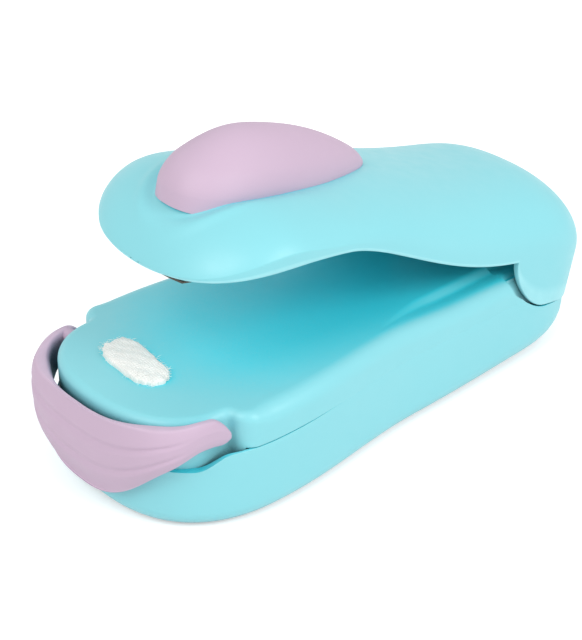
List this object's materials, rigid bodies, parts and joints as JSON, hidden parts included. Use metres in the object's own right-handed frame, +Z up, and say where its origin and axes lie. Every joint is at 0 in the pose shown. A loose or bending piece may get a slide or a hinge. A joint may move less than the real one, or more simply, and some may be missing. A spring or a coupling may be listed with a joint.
{
  "type": "mini bag sealer",
  "caption": "Stapler-like hand heat sealer: sprung lever with a domed thumb pad over a battery base with a heated nose strip and a swinging nose collar.",
  "frame": {"origin": "on the table, under the middle of the whole object at rest", "axes": "+Z up from the table, +Y from the nose to the hinge, +X to the right seen from in front of the nose"},
  "size_m": [0.0404, 0.094, 0.049],
  "materials": {
    "turquoise_plastic": "satin moulded turquoise plastic",
    "lilac_plastic": "satin moulded lilac plastic",
    "glass_cloth": "white woven glass cloth, slightly fuzzy",
    "silicone": "dark silicone rubber",
    "phenolic": "dark heat resistant moulding",
    "steel": "bright drawn steel",
    "contact_metal": "stamped contact sheet",
    "cell_sleeve": "plain dark sleeve",
    "wire_red": "red insulation",
    "wire_black": "black insulation"
  },
  "bodies": {
    "base": {"base_tray": "turquoise_plastic", "base_deck": "turquoise_plastic", "cell_left": "cell_sleeve", "cell_right": "cell_sleeve", "front_link": "contact_metal", "rear_plus_plate": "contact_metal", "rear_minus_plate": "contact_metal", "cell_springs": "steel", "switch_leaf": "contact_metal", "switch_contact": "contact_metal", "heater_holder": "phenolic", "heater_ribbon": "steel", "heater_cover": "glass_cloth", "lead_wire_feed": "wire_red", "lead_wire_return": "wire_black", "base_screws": "steel", "hinge_pin": "steel", "return_spring": "steel"},
    "lever": {"lever_shell": "turquoise_plastic", "thumb_pad": "lilac_plastic", "lever_liner": "turquoise_plastic", "lever_screws": "steel", "pressure_pad": "silicone"},
    "latch": {"latch_collar": "lilac_plastic", "latch_pins": "steel"},
    "door": {"battery_door": "turquoise_plastic"}
  },
  "joints": [
    {"name": "lever_press", "type": "hinge", "parent": "base", "child": "lever", "pos_m": [0, 0.03407, 0.0155], "axis": [1, 0, 0], "range_deg": [0, 13], "stiffness_Nm_per_rad": 0.25, "springref_deg": -22.92, "deforming": ["return_spring"]},
    {"name": "latch_swing", "type": "hinge", "parent": "base", "child": "latch", "pos_m": [0, -0.03593, 0.0164], "axis": [-1, 0, 0], "range_deg": [0, 45]},
    {"name": "door_open", "type": "hinge", "parent": "base", "child": "door", "pos_m": [0, -0.02363, 0], "axis": [-1, 0, 0], "range_deg": [0, 60]}
  ]
}
